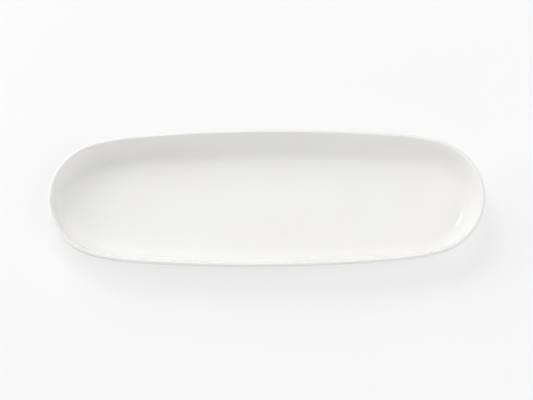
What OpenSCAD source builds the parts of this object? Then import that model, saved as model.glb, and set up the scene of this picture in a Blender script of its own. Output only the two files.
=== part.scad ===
// Long oval serving dish for asparagus, in one piece of glazed porcelain.
// The middle of the standing face is the origin. The long axis is X and up is Z.
// The rim's outline is a four-arc oval, and every line below it keeps the same distance from it.

// Piece to draw

/* [Overall] */
// Length over the rim
length = 380; // [300:1:460]
// Width over the rim
width = 126.5; // [115:0.5:160]
// Height of the rim above the table
height = 28.5; // [26:0.5:34]
// Radius of each rounded end, seen from above
end_radius = 55.6; // [46:0.2:57]

/* [Wall] */
// Thickness of the fired body
body_thickness = 3.2; // [2.6:0.1:3.6]
// Inner radius of the curve between the floor and the wall
cove_radius = 16; // [12:0.5:18]
// Slope of the straight wall, in degrees
wall_slope = 68; // [60:0.5:76]

/* [Foot] */
// Height of the recess under the floor
recess_height = 2.8; // [2:0.1:3.6]
// Distance from the rim in to the foot's outer edge
foot_inset = 20; // [18:0.5:24]
// Width of the foot's standing face
foot_width = 2.6; // [2:0.1:4]
// Slope of the foot's flanks, in degrees from upright
foot_draft = 20; // [10:1:30]
// Width of the bevel along the foot's edges
foot_bevel = 0.5; // [0.3:0.1:0.8]

/* [Glaze] */
// Thickness of the fired glaze
glaze = 0.3; // [0.2:0.05:0.4]
// Height above the table at which the glaze stops on the foot
glaze_line = 1; // [0.8:0.1:1.3]

/* [Hidden] */
section_facets = 64;
sweep_facets = 256;
$fn = section_facets;

// Plan: one large arc along each side and one small arc round each end.
// Ends wider than the middle turn the sides the other way, with their centre outside the dish.
half_length = length / 2;
half_width = width / 2;
end_centre = half_length - end_radius;
side_radius = (end_centre * end_centre + half_width * half_width - end_radius * end_radius)
  / (2 * (half_width - end_radius));
side_turn = sign(side_radius);
joint_angle = atan2(side_turn * (side_radius - half_width), side_turn * end_centre);

// Section: the cove's curve starts where the floor ends, and the wall rises from it to the round lip.
// The floor and the wall cut a little into the curve, so that each meets it in one definite edge.
cove_cut = 0.01;
thickness = body_thickness + 2 * glaze;
half_thick = thickness / 2;
middle_floor = recess_height + half_thick;
middle_cove = cove_radius + half_thick - cove_cut;
wall_length = (height - half_thick - middle_floor - middle_cove * (1 - cos(wall_slope))) / sin(wall_slope);
cove_in = half_thick + wall_length * cos(wall_slope) + middle_cove * sin(wall_slope);

// Foot: its flanks end inside the thickness above them, which the cove may have lifted
foot_in = foot_inset + foot_bevel + foot_width / 2;
foot_out = max(0, cove_in - foot_in);
foot_top = middle_floor + middle_cove - sqrt(middle_cove * middle_cove - foot_out * foot_out);

// A size that is larger than the whole section, and the overlap of two arcs where they join
beyond = 2 * width;
fusing_lap = 0.00000004;

// Places a section piece about the cove's centre, upright or turned to the wall's slope
module at_cove() {
  translate([-cove_in, middle_floor + middle_cove]) children();
}

module at_wall() {
  at_cove() rotate(wall_slope) children();
}

// The air above the floor and inside the wall, grown by depth into the glazed dish
module hollow(depth) {
  radius = cove_radius + depth;
  difference() {
    intersection() {
      at_cove() translate([-beyond, cove_cut - radius]) square(2 * beyond);
      at_wall() translate([-beyond, cove_cut - radius]) square(2 * beyond);
    }
    difference() {
      intersection() {
        at_cove() translate([0, -beyond]) square(beyond);
        at_wall() translate([-beyond, -beyond]) square(beyond);
      }
      at_cove() circle(radius);
    }
  }
}

// Floor, wall and round lip of the dish, thinner by skin all over. The rim is at x = 0.
module wall_section(skin) {
  intersection() {
    difference() {
      hollow(thickness - skin);
      hollow(skin);
    }
    at_wall() translate([wall_length, 0]) translate([-2 * beyond, -beyond]) square(2 * beyond);
    translate([-half_width - thickness - skin, 0]) square(beyond);
  }
  at_wall() translate([wall_length, -middle_cove]) intersection() {
    circle(half_thick - skin);
    translate([0, -thickness]) square(2 * thickness);
  }
}

// Foot ring, widened by skin on both flanks
module foot_section(skin) {
  lean = (foot_top - foot_bevel) * tan(foot_draft);
  outer = skin - foot_inset;
  inner = -foot_inset - foot_width - 2 * foot_bevel - skin;
  polygon([
    [outer + lean, foot_top], [outer, foot_bevel], [outer - foot_bevel, 0],
    [inner + foot_bevel, 0], [inner, foot_bevel], [inner - lean, foot_top]
  ]);
}

module body_section() {
  wall_section(glaze);
  foot_section(0);
}

// The glaze all round the section, down to the glaze line
module glaze_section() {
  difference() {
    union() {
      wall_section(0);
      foot_section(glaze);
    }
    body_section();
    translate([-beyond, glaze_line - beyond]) square([2 * beyond, beyond]);
  }
}

// The space inside the foot ring and under the floor
module recess_section() {
  translate([-beyond - foot_in, 0]) square([beyond, foot_top]);
}

// Sweeps a section once round the oval. Each arc starts at the joint between the end and the side,
// so that both arcs have the same section there, and is trimmed at the dish's two middle planes.
// They overlap there by far less than any finish, so that they fuse into one solid.
module around() {
  module sweep(radius, turn) {
    rotate_extrude(angle = turn, $fn = sweep_facets) intersection() {
      translate([radius, 0]) let($fn = section_facets) children();
      translate([min(0, 2 * radius), -abs(radius)]) square(2 * abs(radius));
    }
  }
  module quarter() translate([-fusing_lap, -fusing_lap, -length]) cube(2 * length);
  module at_joint() translate([end_centre, 0, 0]) rotate(joint_angle) children();
  for (x = [0, 1], y = [0, 1]) mirror([x, 0, 0]) mirror([0, y, 0]) {
    intersection() {
      at_joint() translate([0, fusing_lap, 0]) sweep(end_radius, -2 * joint_angle) children();
      quarter();
    }
    intersection() {
      at_joint() translate([end_radius, 0, 0]) translate([-side_radius, 0, 0])
        sweep(side_radius, 2 * (90 - joint_angle)) children();
      quarter();
    }
  }
}

module porcelain_body() {
  color("Gainsboro") around() body_section();
}

module outer_glaze() {
  color("White") around() difference() {
    glaze_section();
    recess_section();
  }
}

module recess_glaze() {
  color("WhiteSmoke") around() intersection() {
    glaze_section();
    recess_section();
  }
}

porcelain_body();
outer_glaze();
recess_glaze();
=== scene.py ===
"""A long oval serving dish for asparagus in white glazed porcelain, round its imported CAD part."""
import math

import bmesh
import bpy
import numpy as np
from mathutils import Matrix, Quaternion, Vector


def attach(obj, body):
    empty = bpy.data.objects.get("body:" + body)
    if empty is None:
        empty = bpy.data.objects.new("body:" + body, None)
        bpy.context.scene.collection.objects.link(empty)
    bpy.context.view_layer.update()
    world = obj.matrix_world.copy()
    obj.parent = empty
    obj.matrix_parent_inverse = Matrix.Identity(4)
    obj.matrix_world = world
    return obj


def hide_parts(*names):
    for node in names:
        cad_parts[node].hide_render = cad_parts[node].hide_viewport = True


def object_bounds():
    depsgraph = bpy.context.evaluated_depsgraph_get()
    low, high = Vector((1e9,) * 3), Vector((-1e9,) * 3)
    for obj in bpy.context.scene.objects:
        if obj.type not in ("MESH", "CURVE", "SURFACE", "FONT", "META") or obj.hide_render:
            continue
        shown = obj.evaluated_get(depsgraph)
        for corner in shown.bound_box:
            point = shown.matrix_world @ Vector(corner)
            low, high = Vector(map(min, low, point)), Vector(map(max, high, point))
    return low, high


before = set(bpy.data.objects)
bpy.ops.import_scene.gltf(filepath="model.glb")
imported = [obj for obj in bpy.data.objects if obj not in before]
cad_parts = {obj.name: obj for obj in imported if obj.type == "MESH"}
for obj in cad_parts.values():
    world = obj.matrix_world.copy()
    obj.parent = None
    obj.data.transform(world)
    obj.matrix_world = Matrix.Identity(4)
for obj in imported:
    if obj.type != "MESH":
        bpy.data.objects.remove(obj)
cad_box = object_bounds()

MM = 0.001
IMAGE = (533, 400)


# ---- Sizes, in millimetres ----

# The overall sizes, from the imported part
LENGTH, WIDTH, HEIGHT = [(high - low) / MM for low, high in zip(*cad_box)]

# The wall, the foot and the glaze, as in the part's source
BODY_THICKNESS = 3.2
COVE_RADIUS = 16.0
COVE_CUT = 0.01
WALL_SLOPE = math.radians(68)
RECESS_HEIGHT = 2.8
FOOT_INSET = 20.0
FOOT_WIDTH = 2.6
FOOT_DRAFT = math.radians(20)
FOOT_BEVEL = 0.5
GLAZE = 0.3
GLAZE_LINE = 1.0

# The radii of the rim's arcs. They are the scene's own: the source's rim has no shoulder arc, and
# this one lies within about 1 mm of it, with the softer shoulders that the photograph shows.
END_RADIUS = 54.26
SHOULDER_RADIUS = 224.5
SIDE_RADIUS = 1398.2

# What only the looks have: rounded corners on the foot, and a rounded and wavy end of the glaze
FOOT_FILLET = 1.1
FOOT_ROUND = 0.7
GLAZE_BEAD = 0.45
GLAZE_WAVE = 0.12
# Each wave of the glaze's end: how often it rises on the way round, and where it starts. Their
# sum is divided by the last number.
WAVES = ((2, 0.4), (5, 2.1), (9, 4.0), (14, 1.3))
WAVE_SUM = 2.2
# The outer wall stops this many fillets short of the foot, and a rounded corner takes at most
# this share of its shorter side
FILLET_ROOM = 1.2
CORNER_SHARE = 0.45

# The points of each part of a section, and how finely it is drawn: the faces that show, and
# those that lie against another piece
COVE_STEPS, WALL_STEPS, LIP_STEPS, CORNER_STEPS, BEAD_STEPS = 26, 6, 20, 7, 7
FINE, COARSE = 1.0, 0.45
# The points of each arc in a quarter of the plan, and the rings that fill a floor
END_STEPS, SHOULDER_STEPS, SIDE_STEPS, FLOOR_RINGS = 44, 12, 16, 5
# The tries that find where a flank of the foot ends, and the decimals to which points on the
# dish's middle line are told apart
FLANK_TRIES = 20
LINE_DECIMALS = 4
# An edge that turns by more than this is drawn sharp
SHARP_ANGLE = math.radians(50)

THICKNESS = BODY_THICKNESS + 2 * GLAZE
HALF_THICK = THICKNESS / 2
MIDDLE_FLOOR = RECESS_HEIGHT + HALF_THICK
MIDDLE_COVE = COVE_RADIUS + HALF_THICK - COVE_CUT
WALL_RISE = HEIGHT - HALF_THICK - MIDDLE_FLOOR - MIDDLE_COVE * (1 - math.cos(WALL_SLOPE))
WALL_LENGTH = WALL_RISE / math.sin(WALL_SLOPE)
COVE_IN = HALF_THICK + WALL_LENGTH * math.cos(WALL_SLOPE) + MIDDLE_COVE * math.sin(WALL_SLOPE)
COVE_CENTRE = np.array([COVE_IN, MIDDLE_FLOOR + MIDDLE_COVE])
UP_WALL = np.array([-math.cos(WALL_SLOPE), math.sin(WALL_SLOPE)])
# A section's last points on the level floor, from where the fill takes over
FLOOR_NEAR, FLOOR_FAR = COVE_IN + 3.0, COVE_IN + 7.0


# ---- Section: points (distance in from the rim, height) ----

def steps(count, detail):
    return max(2, round(count * detail))


def turned(angle):
    """The direction that points away from the cove's centre, at an angle from straight down."""
    return np.array([-math.sin(angle), -math.cos(angle)])


def wall_face(depth, detail):
    """The face that lies depth into the glazed dish, from the floor up to the lip."""
    radius = COVE_RADIUS + depth - COVE_CUT
    turns = np.linspace(0, WALL_SLOPE, steps(COVE_STEPS, detail))
    cove = [COVE_CENTRE + radius * turned(turn) for turn in turns]
    runs = np.linspace(0, WALL_LENGTH, steps(WALL_STEPS, detail))[1:]
    return cove + [cove[-1] + UP_WALL * run for run in runs]


def lip(skin, detail):
    """The round lip, from just past the inner face to just before the outer one."""
    centre = COVE_CENTRE + MIDDLE_COVE * turned(WALL_SLOPE) + WALL_LENGTH * UP_WALL
    inward = -turned(WALL_SLOPE)
    turns = np.linspace(0, math.pi, steps(LIP_STEPS, detail))[1:-1]
    return [centre + (HALF_THICK - skin) * (math.cos(turn) * inward + math.sin(turn) * UP_WALL)
            for turn in turns]


def underside(depth, distance):
    """Height of the face that lies depth into the glazed dish, where it passes over the foot."""
    radius = COVE_RADIUS + depth - COVE_CUT
    out = max(0.0, COVE_IN - distance)
    return COVE_CENTRE[1] - math.sqrt(radius * radius - out * out)


def flank(skin, side):
    """Where a flank of the foot meets the underside and the table: side is -1 outside, 1 inside."""
    edge = FOOT_INSET if side < 0 else FOOT_INSET + FOOT_WIDTH + 2 * FOOT_BEVEL
    foot = edge + side * (GLAZE - skin)
    lean = side * math.tan(FOOT_DRAFT)
    top = RECESS_HEIGHT
    for _ in range(FLANK_TRIES):
        top = underside(THICKNESS - skin, foot + lean * (top - FOOT_BEVEL))
    return (np.array([foot + lean * (top - FOOT_BEVEL), top]),
            np.array([foot - lean * FOOT_BEVEL, 0.0]))


def rounded(before, corner, after, radius, detail):
    """Points of an arc that rounds a corner between two other points."""
    a, b = before - corner, after - corner
    shorter = min(np.linalg.norm(a), np.linalg.norm(b))
    a, b = a / np.linalg.norm(a), b / np.linalg.norm(b)
    half = math.acos(float(np.clip(a @ b, -1, 1))) / 2
    reach = min(radius / math.tan(half), CORNER_SHARE * shorter)
    middle = (a + b) / np.linalg.norm(a + b)
    centre = corner + middle * reach / math.cos(half)
    start, end = corner + a * reach - centre, corner + b * reach - centre
    sweep = math.copysign(math.pi - 2 * half, start[0] * end[1] - start[1] * end[0])
    out = []
    for turn in np.linspace(0, sweep, steps(CORNER_STEPS, detail)):
        c, s = math.cos(turn), math.sin(turn)
        out.append(centre + np.array([c * start[0] - s * start[1], s * start[0] + c * start[1]]))
    return out


def dish_face(skin, detail):
    """Floor, wall, lip and outer wall, thinner by skin, down to the foot's outer flank."""
    floor = MIDDLE_FLOOR + HALF_THICK - skin
    inner = [np.array([FLOOR_FAR, floor]), np.array([FLOOR_NEAR, floor])] + wall_face(skin, detail)
    top, foot = flank(skin, -1)
    outer = [point for point in reversed(wall_face(THICKNESS - skin, detail))
             if point[0] < top[0] - FOOT_FILLET * FILLET_ROOM]
    corner = rounded(outer[-1], top, foot, FOOT_FILLET, detail)
    return inner + lip(skin, detail) + outer + corner


def recess_face(skin, detail):
    """From the foot's inner flank to the level recess."""
    top, foot = flank(skin, 1)
    end = np.array([FLOOR_FAR, RECESS_HEIGHT + skin])
    return rounded(foot, top, end, FOOT_FILLET, detail) + [end]


def on_flank(skin, side, height):
    """The point of a flank at some height above the table."""
    top, foot = flank(skin, side)
    return foot + (top - foot) * height / top[1]


def bead(side):
    """The glaze's rounded end on a flank of the foot, from its full thickness down to nothing."""
    out = []
    for turn in np.linspace(0, math.pi / 2, BEAD_STEPS):
        height = GLAZE_LINE + GLAZE_BEAD * (1 - math.sin(turn))
        skinned, bare = on_flank(0, side, height), on_flank(GLAZE, side, height)
        out.append(bare + (skinned - bare) * math.cos(turn))
    return out


def still(points):
    """Section points that keep their height all round the dish."""
    return [(x, z, 0.0) for x, z in points]


def waving(points):
    """Section points that rise and fall with the glaze's end."""
    return [(x, z, 1.0) for x, z in points]


def body_section():
    outer_top, outer_foot = flank(GLAZE, -1)
    inner_top, inner_foot = flank(GLAZE, 1)
    path = dish_face(GLAZE, COARSE)
    path += rounded(outer_top, outer_foot, inner_foot, FOOT_ROUND, FINE)
    path += rounded(outer_foot, inner_foot, inner_top, FOOT_ROUND, FINE)
    return still(path + recess_face(GLAZE, COARSE))


def outer_section():
    back = list(reversed(dish_face(GLAZE, COARSE)))
    return still(dish_face(0, FINE)) + waving(bead(-1)) + still(back)


def recess_section():
    back = list(reversed(recess_face(GLAZE, COARSE)))
    return still(back) + waving(reversed(bead(1))) + still(recess_face(0, FINE))


# ---- Plan: a small arc round each end, a large one along each side, a shoulder between them ----

END_CENTRE = np.array([LENGTH / 2 - END_RADIUS, 0.0])
SIDE_CENTRE = np.array([0.0, WIDTH / 2 - SIDE_RADIUS])


def bearing(way):
    """A direction's angle from +X."""
    return math.atan2(way[1], way[0])


def shoulder_centre():
    """The shoulder's centre, from which it meets the end and the side without a corner."""
    to_end, to_side = SHOULDER_RADIUS - END_RADIUS, SIDE_RADIUS - SHOULDER_RADIUS
    gap = SIDE_CENTRE - END_CENTRE
    apart = np.linalg.norm(gap)
    along = (to_end ** 2 - to_side ** 2 + apart ** 2) / (2 * apart)
    across = math.sqrt(to_end ** 2 - along ** 2)
    return END_CENTRE + (gap * along + np.array([gap[1], -gap[0]]) * across) / apart


def plan():
    """Centres, radii and directions of the rim's points, once round from +X."""
    shoulder = shoulder_centre()
    first, second = bearing(END_CENTRE - shoulder), bearing(shoulder - SIDE_CENTRE)
    rows = []
    for centre, radius, turns in (
            (END_CENTRE, END_RADIUS, np.linspace(0, first, END_STEPS, endpoint=False)),
            (shoulder, SHOULDER_RADIUS, np.linspace(first, second, SHOULDER_STEPS, endpoint=False)),
            (SIDE_CENTRE, SIDE_RADIUS, np.linspace(second, math.pi / 2, SIDE_STEPS + 1))):
        rows += [(*centre, radius, math.cos(turn), math.sin(turn)) for turn in turns]
    rows = np.array(rows)
    rows = np.concatenate([rows, rows[-2::-1] * [-1, 1, 1, -1, 1]])
    rows = np.concatenate([rows, rows[-2:0:-1] * [1, -1, 1, 1, -1]])
    return rows[:, :2], rows[:, 2], rows[:, 3:]


CENTRES, RADII, WAYS = plan()
ROUND = len(RADII)
# Each point of a ring with the next one
PAIRS = [(i, (i + 1) % ROUND) for i in range(ROUND)]
BEARINGS = np.arctan2(WAYS[:, 1], WAYS[:, 0])
# The wiped end of the glaze isn't quite level: a few slow waves, the same in every run
WAVE = GLAZE_WAVE * sum(np.sin(k * BEARINGS + phase) for k, phase in WAVES) / WAVE_SUM


def ring(row):
    """One section point taken once round the dish."""
    distance, height, follow = row
    flat = CENTRES + (RADII - distance)[:, None] * WAYS
    return np.column_stack([flat, height + follow * WAVE])


def fill(points, loop, flipped):
    """Closes a level loop with rings that narrow to a line along the middle. Returns the faces."""
    faces, last = [], list(loop)
    outline = np.array([points[i] for i in loop])
    on_line = np.clip(outline[:, 0], -END_CENTRE[0], END_CENTRE[0])
    goal = np.column_stack([on_line, np.zeros(ROUND), outline[:, 2]])
    for step in range(1, FLOOR_RINGS):
        share = step / FLOOR_RINGS
        base = len(points)
        points.extend((outline * (1 - share) + goal * share).tolist())
        here = [base + i for i in range(ROUND)]
        faces += [(last[i], last[j], here[j], here[i]) for i, j in PAIRS]
        last = here
    line, at = {}, []
    for point in goal.tolist():
        key = round(point[0], LINE_DECIMALS)
        if key not in line:
            line[key] = len(points)
            points.append(point)
        at.append(line[key])
    for i, j in PAIRS:
        end = (at[i],) if at[i] == at[j] else (at[j], at[i])
        faces.append((last[i], last[j], *end))
    return [face[::-1] for face in faces] if flipped else faces


def new_object(name, data):
    made = bpy.data.objects.new(name, data)
    bpy.context.scene.collection.objects.link(made)
    return made


def dish_piece(name, section, node, finish):
    """A closed mesh, swept from a section with level ends, put in place of a CAD node."""
    points, faces = [], []
    for row in section:
        points.extend(ring(row).tolist())
    last = (len(section) - 1) * ROUND
    for a in range(0, last, ROUND):
        b = a + ROUND
        faces += [(a + i, b + i, b + j, a + j) for i, j in PAIRS]
    faces += fill(points, range(ROUND), False) + fill(points, range(last, last + ROUND), True)
    mesh = bpy.data.meshes.new(name)
    mesh.from_pydata((np.array(points) * MM).tolist(), [], faces)
    build = bmesh.new()
    build.from_mesh(mesh)
    bmesh.ops.recalc_face_normals(build, faces=build.faces)
    build.to_mesh(mesh)
    build.free()
    mesh.shade_smooth()
    mesh.set_sharp_from_angle(angle=SHARP_ANGLE)
    mesh.materials.append(finish)
    piece = new_object(name, mesh)
    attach(piece, "root")
    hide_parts(node)
    return piece


# ---- Materials ----

# Colours: red, green, blue and opacity
WHITE = (1, 1, 1, 1)
GLAZE_WHITE = (0.880, 0.876, 0.860, 1)
GLAZE_CREAM = (0.866, 0.860, 0.842, 1)
GLAZE_THIN = (0.83, 0.815, 0.785, 1)
BISCUIT_PALE = (0.80, 0.775, 0.73, 1)
BISCUIT_DARK = (0.74, 0.71, 0.66, 1)
BISCUIT_SPECK = (0.52, 0.47, 0.40, 1)

# Noises: their scale per metre, how many finer layers they have, and how strong those are
CLOUDS = (11, 3)
SMEARS = (34, 4)
RIPPLES = (28, 1)
PEEL = (330, 2)
MOTTLE = (160, 5, 0.65)
SPECKS = (1500, 2)
PATCHES = (700, 3)
GRAIN = (2200, 4, 0.7)
# The parts of a noise's range over which what follows it changes
MIDDLE, WIDE, PEAKS = (0.35, 0.65), (0.3, 0.7), (0.66, 0.72)

GLAZE_IOR = 1.5
GLAZE_ROUGHNESS = (0.07, 0.13)
BISCUIT_ROUGHNESS = (0.62, 0.82)
SPECK_SHARE = (0.0, 0.8)
# Strength and height in metres of the bumps
RIPPLE_BUMP, PEEL_BUMP, GRAIN_BUMP = (1.0, 0.00006), (1.0, 0.000006), (0.8, 0.00005)
# Heights in metres between which the glaze is seen to thin out, from fully to not at all
THINNING = ((GLAZE_LINE - 0.1) * MM, (GLAZE_LINE + 1.4) * MM)

# A colour Mix node's inputs and output share their names with others, and so go by number
MIX_SHARE, MIX_FROM, MIX_TO, MIX_RESULT = 0, 6, 7, 2


def material(name):
    out = bpy.data.materials.new(name)
    out.use_nodes = True
    return out, out.node_tree, out.node_tree.nodes["Principled BSDF"]


def add(tree, kind, inputs, **settings):
    """A node with its settings, and its inputs by name or number: values or others' outputs."""
    made = tree.nodes.new(kind)
    for key, value in settings.items():
        setattr(made, key, value)
    for key, value in inputs.items():
        if isinstance(value, bpy.types.NodeSocket):
            tree.links.new(value, made.inputs[key])
        else:
            made.inputs[key].default_value = value
    return made


def in_order(*values):
    """Inputs from the first one on, for nodes on which several have the same name."""
    return dict(enumerate(values))


def place(tree):
    """Where a point of the surface lies, in metres from the dish's origin."""
    return add(tree, "ShaderNodeTexCoord", {}).outputs["Object"]


def noise(tree, scale, detail, roughness=0.5):
    inputs = {"Vector": place(tree), "Scale": scale, "Detail": detail, "Roughness": roughness}
    return add(tree, "ShaderNodeTexNoise", inputs).outputs["Fac"]


def spread(tree, value, source, target):
    """Takes a value from one range to another, and holds it at their ends."""
    inputs = in_order(value, *source, *target)
    return add(tree, "ShaderNodeMapRange", inputs).outputs["Result"]


def tint(tree, share, start, end):
    """A colour between two, by a share from 0 to 1."""
    inputs = {MIX_SHARE: share, MIX_FROM: start, MIX_TO: end}
    return add(tree, "ShaderNodeMix", inputs, data_type="RGBA").outputs[MIX_RESULT]


def bump(tree, shape, size, under=None):
    """The surface's direction with a noise's bumps on it, and on another's where one is given."""
    strength, distance = size
    inputs = {"Strength": strength, "Distance": distance, "Height": noise(tree, *shape)}
    if under:
        inputs["Normal"] = under
    return add(tree, "ShaderNodeBump", inputs).outputs["Normal"]


def glaze_material():
    """White glaze: slow clouds in its tone, an unevenly smooth surface, warmer where it thins."""
    out, tree, shader = material("white glaze")
    clouds = spread(tree, noise(tree, *CLOUDS), MIDDLE, (0.0, 1.0))
    tone = tint(tree, clouds, GLAZE_WHITE, GLAZE_CREAM)
    height = add(tree, "ShaderNodeSeparateXYZ", {"Vector": place(tree)}).outputs["Z"]
    thin = spread(tree, height, THINNING, (1.0, 0.0))
    tree.links.new(tint(tree, thin, tone, GLAZE_THIN), shader.inputs["Base Color"])
    smears = spread(tree, noise(tree, *SMEARS), WIDE, GLAZE_ROUGHNESS)
    tree.links.new(smears, shader.inputs["Roughness"])
    shader.inputs["IOR"].default_value = GLAZE_IOR
    ripples = bump(tree, RIPPLES, RIPPLE_BUMP)
    tree.links.new(bump(tree, PEEL, PEEL_BUMP, ripples), shader.inputs["Normal"])
    return out


def biscuit_material():
    """Bare porcelain: matt, faintly mottled and grainy, with a few fine specks."""
    out, tree, shader = material("bare porcelain")
    mottle = spread(tree, noise(tree, *MOTTLE), MIDDLE, (0.0, 1.0))
    tone = tint(tree, mottle, BISCUIT_PALE, BISCUIT_DARK)
    specks = spread(tree, noise(tree, *SPECKS), PEAKS, SPECK_SHARE)
    tree.links.new(tint(tree, specks, tone, BISCUIT_SPECK), shader.inputs["Base Color"])
    patches = spread(tree, noise(tree, *PATCHES), WIDE, BISCUIT_ROUGHNESS)
    tree.links.new(patches, shader.inputs["Roughness"])
    tree.links.new(bump(tree, GRAIN, GRAIN_BUMP), shader.inputs["Normal"])
    return out


white_glaze, biscuit = glaze_material(), biscuit_material()
body = dish_piece("bare_foot_and_body", body_section(), "porcelain_body", biscuit)
outer = dish_piece("glazed_dish", outer_section(), "outer_glaze", white_glaze)
recess = dish_piece("glazed_recess", recess_section(), "recess_glaze", white_glaze)


# ---- Floor, background and light, in metres ----

FLOOR_SIZE = 8.0
FLOOR_GREY = (0.86, 0.86, 0.86, 1)
FLOOR_ROUGHNESS = 0.9
FLOOR_SPECULAR = 0.1
# The share of plain white in what is seen of the floor, and the level of the room's own light
FLOOR_WHITE = 0.62
ROOM = 0.09


def highest(tree, first, second):
    return add(tree, "ShaderNodeMath", in_order(first, second), operation="MAXIMUM").outputs[0]


def seen(tree):
    """1 for what the camera sees, also in a reflection or through glass, and 0 for other light."""
    path = add(tree, "ShaderNodeLightPath", {}).outputs
    mirrored = highest(tree, path["Is Camera Ray"], path["Is Glossy Ray"])
    return highest(tree, mirrored, path["Is Transmission Ray"])


def make_floor():
    half = FLOOR_SIZE / 2
    corners = [(-half, -half, 0), (half, -half, 0), (half, half, 0), (-half, half, 0)]
    mesh = bpy.data.meshes.new("floor")
    mesh.from_pydata(corners, [], [(0, 1, 2, 3)])
    floor = new_object("floor", mesh)
    out, tree, shader = material("pale floor")
    shader.inputs["Base Color"].default_value = FLOOR_GREY
    shader.inputs["Roughness"].default_value = FLOOR_ROUGHNESS
    shader.inputs["Specular IOR Level"].default_value = FLOOR_SPECULAR
    white = add(tree, "ShaderNodeEmission", {"Color": WHITE, "Strength": 1.0})
    inputs = in_order(seen(tree), FLOOR_WHITE)
    share = add(tree, "ShaderNodeMath", inputs, operation="MULTIPLY").outputs[0]
    inputs = in_order(share, shader.outputs["BSDF"], white.outputs["Emission"])
    mixed = add(tree, "ShaderNodeMixShader", inputs).outputs[0]
    tree.links.new(mixed, tree.nodes["Material Output"].inputs["Surface"])
    mesh.materials.append(out)


def make_room():
    world = bpy.data.worlds.new("white room")
    bpy.context.scene.world = world
    world.use_nodes = True
    tree = world.node_tree
    back = tree.nodes["Background"]
    back.inputs["Color"].default_value = WHITE
    level = spread(tree, seen(tree), (0.0, 1.0), (ROOM, 1.0))
    tree.links.new(level, back.inputs["Strength"])


# Each lamp: its bearing in degrees from straight behind the dish towards the right, its height in
# degrees, its distance and width, and its level, where 1 makes a white surface white
LAMPS = {
    "key": (331, 52, 2.0, 0.34, 0.065),
    "soft box behind on the left": (326, 40, 2.0, 2.0, 0.65),
    "front fill": (120, 50, 2.0, 2.0, 0.512),
    "back fill": (45, 17, 2.0, 1.2, 0.165),
    "low front fill": (180, 17, 2.0, 1.2, 0.225),
    "left fill": (282, 17, 2.0, 1.2, 0.40),
}
# The photograph has one small highlight on the glaze, so only this lamp is mirrored in it
MIRRORED = "key"


def aimed(way):
    """The turn that makes a lamp or a camera look along a direction."""
    return way.to_track_quat("-Z", "Y")


def make_lamps():
    for name, (angle, height, distance, width, level) in LAMPS.items():
        lamp = bpy.data.lights.new(name, "AREA")
        lamp.shape = "DISK"
        lamp.size = width
        # The energy at which a white surface that faces the lamp shows its level
        lamp.energy = level * math.pi ** 2 * distance ** 2
        holder = new_object(name, lamp)
        holder.visible_glossy = name == MIRRORED
        a, h = math.radians(angle), math.radians(height)
        way = Vector((math.sin(a) * math.cos(h), math.cos(a) * math.cos(h), math.sin(h)))
        holder.location = way * distance
        holder.rotation_euler = aimed(-way).to_euler()


# ---- Camera, in degrees and metres ----

CAMERA_HEIGHT = 70.0
CAMERA_DISTANCE = 3.5
CAMERA_ROLL = 0.49
CLIP_END = 100
SENSOR_MM = 36.0
# What one pixel of the photograph covers at the rim, and the pixel of the rim's centre
PIXEL = 0.8678 * MM
RIM_CENTRE = (266.4, 197.9)


def make_camera():
    """The photograph's view, with the rim's centre on the same pixel."""
    lens = bpy.data.cameras.new("camera")
    lens.sensor_width = SENSOR_MM
    lens.lens = CAMERA_DISTANCE / PIXEL * SENSOR_MM / IMAGE[0]
    lens.clip_end = CLIP_END
    camera = new_object("camera", lens)
    bpy.context.scene.camera = camera
    height = math.radians(CAMERA_HEIGHT)
    back = Vector((0, -math.cos(height), math.sin(height)))
    turn = aimed(-back) @ Quaternion((0, 0, 1), -math.radians(CAMERA_ROLL))
    right, up = turn @ Vector((1, 0, 0)), turn @ Vector((0, 1, 0))
    across, down = [(at - size / 2) * PIXEL for at, size in zip(RIM_CENTRE, IMAGE)]
    aim = Vector((0, 0, (HEIGHT - HALF_THICK) * MM)) + up * down - right * across
    camera.rotation_mode = "QUATERNION"
    camera.rotation_quaternion = turn
    camera.location = aim + back * CAMERA_DISTANCE


make_floor()
make_room()
make_lamps()
make_camera()
bpy.context.scene.view_settings.view_transform = "Standard"
